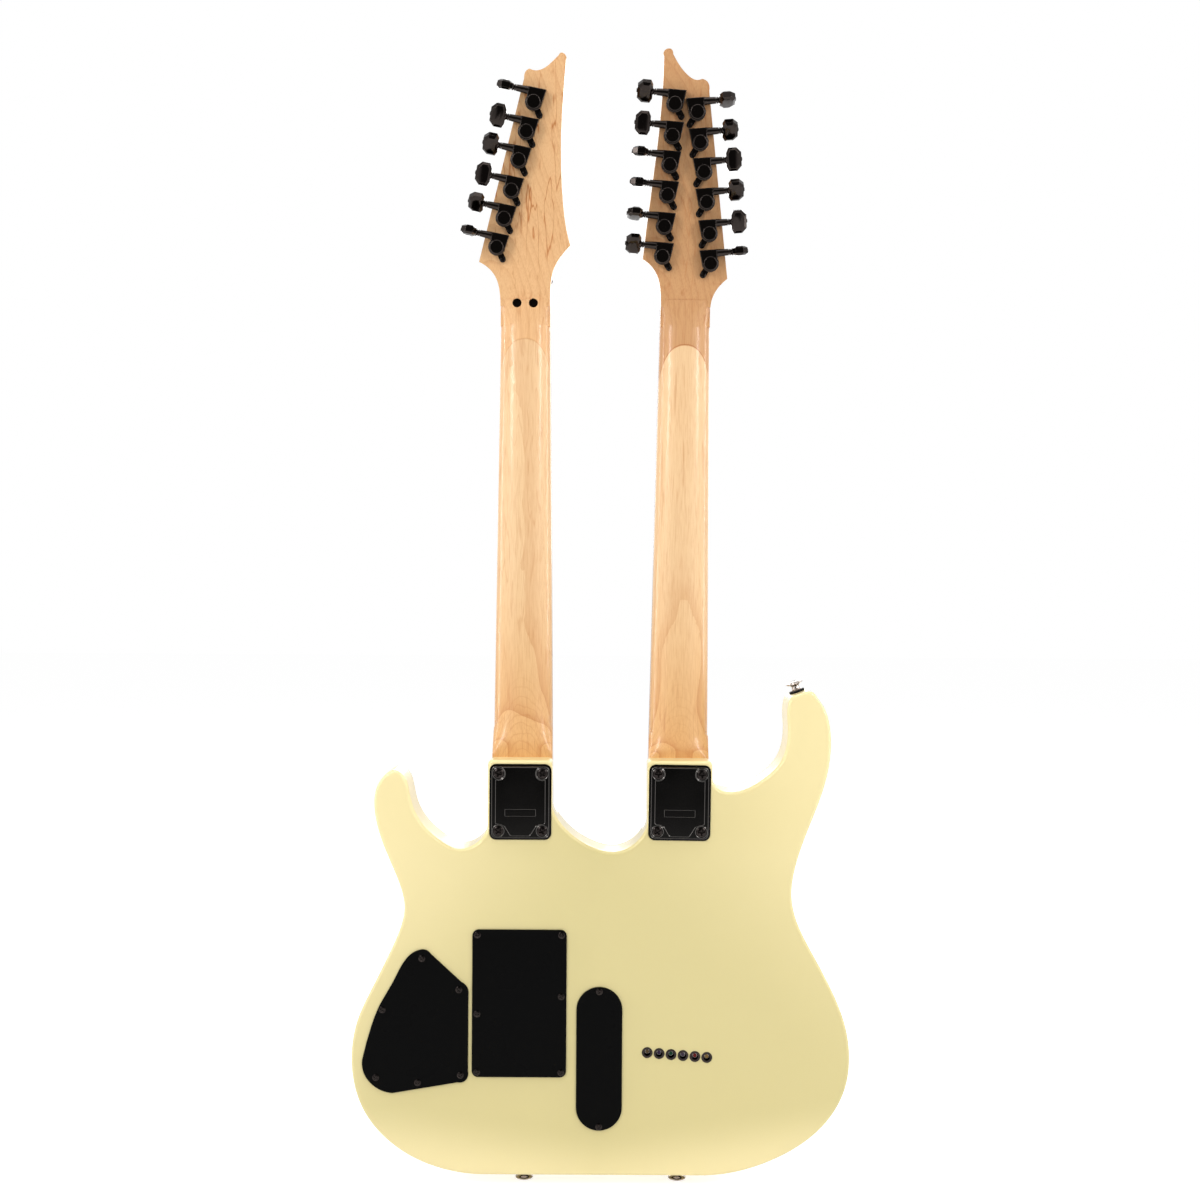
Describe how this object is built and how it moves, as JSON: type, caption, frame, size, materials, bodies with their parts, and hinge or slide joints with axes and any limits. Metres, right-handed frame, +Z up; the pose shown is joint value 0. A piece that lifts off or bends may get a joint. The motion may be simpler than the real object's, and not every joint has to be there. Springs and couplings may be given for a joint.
{
  "type": "double-neck electric guitar",
  "caption": "Solid-body electric guitar with two bolt-on maple necks, one six-string with a floating tremolo and one twelve-string with a fixed bridge, and a pearl cream body.",
  "frame": {"origin": "on the flat back face, midway between the two bridges, level with the clear wood between the neck plates and the back covers", "axes": "+Z up the six-string neck, +Y from the back to the front, +X from the six-string neck towards the twelve-string neck"},
  "size_m": [0.439, 0.1198, 0.9999],
  "materials": {
    "cream_lacquer": "gloss lacquer",
    "maple": "gloss",
    "dark_wood": "satin",
    "fret_wire": "polished",
    "black_plastic": "satin",
    "black_nut": "gloss",
    "black_metal": "satin",
    "black_chrome": "gloss",
    "dark_nickel": "polished",
    "felt": "felt",
    "steel": "polished",
    "string_wire": "plain",
    "cast_block": "satin"
  },
  "bodies": {
    "guitar": {"body": "cream_lacquer", "neck_6": "maple", "neck_12": "maple", "fingerboards": "dark_wood", "frets": "fret_wire", "truss_rods": "steel", "truss_rod_covers": "black_plastic", "locking_nut": "black_metal", "nut_bolts": "black_metal", "nut_12": "black_nut", "string_retainer": "black_metal", "neck_plates": "black_metal", "neck_screws": "black_metal", "control_cover": "black_plastic", "tremolo_cover": "black_plastic", "switch_cover": "black_plastic", "cover_screws": "black_metal", "tuner_housings": "black_chrome", "tuner_posts": "black_chrome", "tuner_fasteners": "black_chrome", "strap_buttons": "dark_nickel", "strap_washers": "felt", "string_ferrules": "black_metal", "output_jack": "dark_nickel", "pots_and_switches": "steel", "pickups": "black_plastic", "bridge_12_plate": "black_metal", "bridge_12_saddles": "black_metal", "strings_6": "string_wire", "strings_12": "string_wire", "tremolo_studs": "black_metal", "spring_claw": "steel", "tremolo_springs": "steel"},
    "tremolo": {"tremolo_plate": "black_metal", "tremolo_block": "cast_block", "tremolo_saddles": "black_metal", "fine_tuners": "black_metal"},
    "tremolo_arm": {"tremolo_arm": "black_metal"},
    "volume_knob": {"volume_knob": "black_metal"},
    "tone_knob": {"tone_knob": "black_metal"},
    "neck_selector": {"neck_selector": "dark_nickel"},
    "pickup_selector": {"pickup_selector": "dark_nickel"},
    "tuner_key_6_1": {"tuner_key_6_1": "black_chrome"},
    "tuner_key_6_2": {"tuner_key_6_2": "black_chrome"},
    "tuner_key_6_3": {"tuner_key_6_3": "black_chrome"},
    "tuner_key_6_4": {"tuner_key_6_4": "black_chrome"},
    "tuner_key_6_5": {"tuner_key_6_5": "black_chrome"},
    "tuner_key_6_6": {"tuner_key_6_6": "black_chrome"},
    "tuner_key_12_1": {"tuner_key_12_1": "black_chrome"},
    "tuner_key_12_2": {"tuner_key_12_2": "black_chrome"},
    "tuner_key_12_3": {"tuner_key_12_3": "black_chrome"},
    "tuner_key_12_4": {"tuner_key_12_4": "black_chrome"},
    "tuner_key_12_5": {"tuner_key_12_5": "black_chrome"},
    "tuner_key_12_6": {"tuner_key_12_6": "black_chrome"},
    "tuner_key_12_7": {"tuner_key_12_7": "black_chrome"},
    "tuner_key_12_8": {"tuner_key_12_8": "black_chrome"},
    "tuner_key_12_9": {"tuner_key_12_9": "black_chrome"},
    "tuner_key_12_10": {"tuner_key_12_10": "black_chrome"},
    "tuner_key_12_11": {"tuner_key_12_11": "black_chrome"},
    "tuner_key_12_12": {"tuner_key_12_12": "black_chrome"}
  },
  "joints": [
    {"name": "tremolo_rock", "type": "hinge", "parent": "guitar", "child": "tremolo", "pos_m": [-0.069, 0.0461, -0.12499], "axis": [1, 0, 0], "range_deg": [-6, 12], "stiffness_Nm_per_rad": 5, "deforming": ["strings_6", "tremolo_springs"]},
    {"name": "arm_swing", "type": "hinge", "parent": "tremolo", "child": "tremolo_arm", "pos_m": [-0.117, 0.0478, -0.13599], "axis": [0, 1, 0], "range_deg": [-150, 10]},
    {"name": "volume_turn", "type": "hinge", "parent": "guitar", "child": "volume_knob", "pos_m": [-0.14101, 0.0452, -0.09997], "axis": [0, 1, 0], "range_deg": [-150, 150]},
    {"name": "tone_turn", "type": "hinge", "parent": "guitar", "child": "tone_knob", "pos_m": [-0.17196, 0.0452, -0.13], "axis": [0, 1, 0], "range_deg": [-150, 150]},
    {"name": "neck_selector_tilt", "type": "hinge", "parent": "guitar", "child": "neck_selector", "pos_m": [0.0015, 0.042, -0.11206], "axis": [1, 0, 0], "range_deg": [-12, 12]},
    {"name": "pickup_selector_tilt", "type": "hinge", "parent": "guitar", "child": "pickup_selector", "pos_m": [0.0015, 0.042, -0.18804], "axis": [1, 0, 0], "range_deg": [-12, 12]},
    {"name": "tuner_key_6_1_turn", "type": "hinge", "parent": "guitar", "child": "tuner_key_6_1", "pos_m": [-0.07518, -0.01445, 0.69729], "axis": [-0.9806, -0.0441, 0.1909], "continuous": true},
    {"name": "tuner_key_6_2_turn", "type": "hinge", "parent": "guitar", "child": "tuner_key_6_2", "pos_m": [-0.08165, -0.00893, 0.67335], "axis": [-0.9806, -0.0441, 0.1909], "continuous": true},
    {"name": "tuner_key_6_3_turn", "type": "hinge", "parent": "guitar", "child": "tuner_key_6_3", "pos_m": [-0.08838, -0.00354, 0.65002], "axis": [-0.9806, -0.0441, 0.1909], "continuous": true},
    {"name": "tuner_key_6_4_turn", "type": "hinge", "parent": "guitar", "child": "tuner_key_6_4", "pos_m": [-0.09506, 0.00222, 0.62506], "axis": [-0.9806, -0.0441, 0.1909], "continuous": true},
    {"name": "tuner_key_6_5_turn", "type": "hinge", "parent": "guitar", "child": "tuner_key_6_5", "pos_m": [-0.10178, 0.00761, 0.60173], "axis": [-0.9806, -0.0441, 0.1909], "continuous": true},
    {"name": "tuner_key_6_6_turn", "type": "hinge", "parent": "guitar", "child": "tuner_key_6_6", "pos_m": [-0.10855, 0.01318, 0.57759], "axis": [-0.9806, -0.0441, 0.1909], "continuous": true},
    {"name": "tuner_key_12_1_turn", "type": "hinge", "parent": "guitar", "child": "tuner_key_12_1", "pos_m": [0.0465, -0.01377, 0.69461], "axis": [-0.9968, -0.0157, 0.0784], "continuous": true},
    {"name": "tuner_key_12_2_turn", "type": "hinge", "parent": "guitar", "child": "tuner_key_12_2", "pos_m": [0.04484, -0.00782, 0.66885], "axis": [-0.9968, -0.0157, 0.0784], "continuous": true},
    {"name": "tuner_key_12_3_turn", "type": "hinge", "parent": "guitar", "child": "tuner_key_12_3", "pos_m": [0.0429, -0.00229, 0.64493], "axis": [-0.9968, -0.0157, 0.0784], "continuous": true},
    {"name": "tuner_key_12_4_turn", "type": "hinge", "parent": "guitar", "child": "tuner_key_12_4", "pos_m": [0.04133, 0.00342, 0.62018], "axis": [-0.9968, -0.0157, 0.0784], "continuous": true},
    {"name": "tuner_key_12_5_turn", "type": "hinge", "parent": "guitar", "child": "tuner_key_12_5", "pos_m": [0.03889, 0.00947, 0.59402], "axis": [-0.9968, -0.0157, 0.0784], "continuous": true},
    {"name": "tuner_key_12_6_turn", "type": "hinge", "parent": "guitar", "child": "tuner_key_12_6", "pos_m": [0.03772, 0.01528, 0.56886], "axis": [-0.9968, -0.0157, 0.0784], "continuous": true},
    {"name": "tuner_key_12_7_turn", "type": "hinge", "parent": "guitar", "child": "tuner_key_12_7", "pos_m": [0.09852, -0.01237, 0.688], "axis": [0.997, -0.0196, 0.0745], "continuous": true},
    {"name": "tuner_key_12_8_turn", "type": "hinge", "parent": "guitar", "child": "tuner_key_12_8", "pos_m": [0.10155, -0.0067, 0.66341], "axis": [0.997, -0.0196, 0.0745], "continuous": true},
    {"name": "tuner_key_12_9_turn", "type": "hinge", "parent": "guitar", "child": "tuner_key_12_9", "pos_m": [0.10539, -0.00113, 0.63923], "axis": [0.997, -0.0196, 0.0745], "continuous": true},
    {"name": "tuner_key_12_10_turn", "type": "hinge", "parent": "guitar", "child": "tuner_key_12_10", "pos_m": [0.10821, 0.00464, 0.61423], "axis": [0.997, -0.0196, 0.0745], "continuous": true},
    {"name": "tuner_key_12_11_turn", "type": "hinge", "parent": "guitar", "child": "tuner_key_12_11", "pos_m": [0.11134, 0.01068, 0.58801], "axis": [0.997, -0.0196, 0.0745], "continuous": true},
    {"name": "tuner_key_12_12_turn", "type": "hinge", "parent": "guitar", "child": "tuner_key_12_12", "pos_m": [0.11288, 0.01649, 0.56282], "axis": [0.997, -0.0196, 0.0745], "continuous": true}
  ]
}
